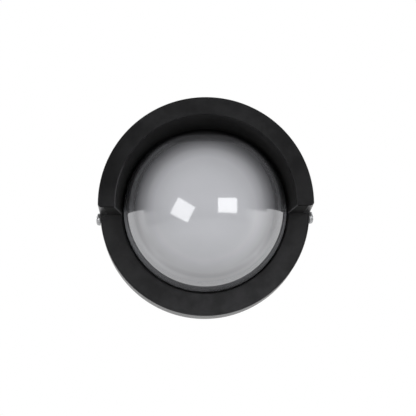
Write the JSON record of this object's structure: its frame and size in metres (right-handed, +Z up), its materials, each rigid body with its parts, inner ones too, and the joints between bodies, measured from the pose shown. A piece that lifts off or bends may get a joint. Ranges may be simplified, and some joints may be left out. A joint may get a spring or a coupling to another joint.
{
  "type": "outdoor wall light",
  "caption": "Round outdoor wall light: a black cast housing and ring with a half hood over a domed frosted glass, fixed by side screws, with a lamp inside.",
  "frame": {"origin": "centre of the two wall slots, in the plane of the wall face", "axes": "+Z up, +X to the right seen from the front, -Y out of the wall towards the viewer"},
  "size_m": [0.2186, 0.1181, 0.212],
  "materials": {
    "black_coat": "satin black powder coat over cast aluminium",
    "foam": "closed-cell foam rubber",
    "rubber": "matt moulded rubber",
    "nylon": "moulded natural nylon",
    "brass": "plain drawn brass",
    "zinc": "bright zinc-plated steel",
    "earth_insulation": "green and yellow insulation",
    "live_insulation": "brown insulation",
    "neutral_insulation": "blue insulation",
    "white_enamel": "white stove enamel on sheet steel",
    "porcelain": "white glazed porcelain",
    "lamp_glass": "white coated globe with a plated screw cap",
    "frosted_glass": "pressed glass, glossy outside and frosted inside"
  },
  "bodies": {
    "base": {"base_housing": "black_coat", "wall_gasket": "foam", "cable_grommet": "rubber", "front_gasket": "rubber", "terminal_block": "nylon", "terminal_inserts": "brass", "terminal_screws": "zinc", "block_screws": "zinc", "earth_screw": "zinc", "earth_tag": "zinc", "earth_lead": "earth_insulation", "live_lead": "live_insulation", "neutral_lead": "neutral_insulation", "gear_tray": "white_enamel", "tray_screws": "zinc", "tray_bush": "rubber", "holder_bracket": "zinc", "bracket_screws": "zinc", "lampholder": "porcelain", "holder_shell": "brass", "holder_contact": "brass", "holder_screws": "zinc", "lamp": "lamp_glass"},
    "front": {"front_bezel": "black_coat", "glass_gasket": "rubber", "glass_dome": "frosted_glass", "glass_clips": "zinc", "clip_screws": "zinc"},
    "left_side_screw": {"left_screw": "zinc", "left_washer": "zinc"},
    "right_side_screw": {"right_screw": "zinc", "right_washer": "zinc"}
  },
  "joints": [
    {"name": "front_lift_off", "type": "slide", "parent": "base", "child": "front", "axis": [0, -1, 0], "range_m": [0, 0.06]},
    {"name": "left_screw_back_out", "type": "slide", "parent": "base", "child": "left_side_screw", "axis": [-1, 0, 0], "range_m": [0, 0.004]},
    {"name": "right_screw_back_out", "type": "slide", "parent": "base", "child": "right_side_screw", "axis": [1, 0, 0], "range_m": [0, 0.004]}
  ]
}
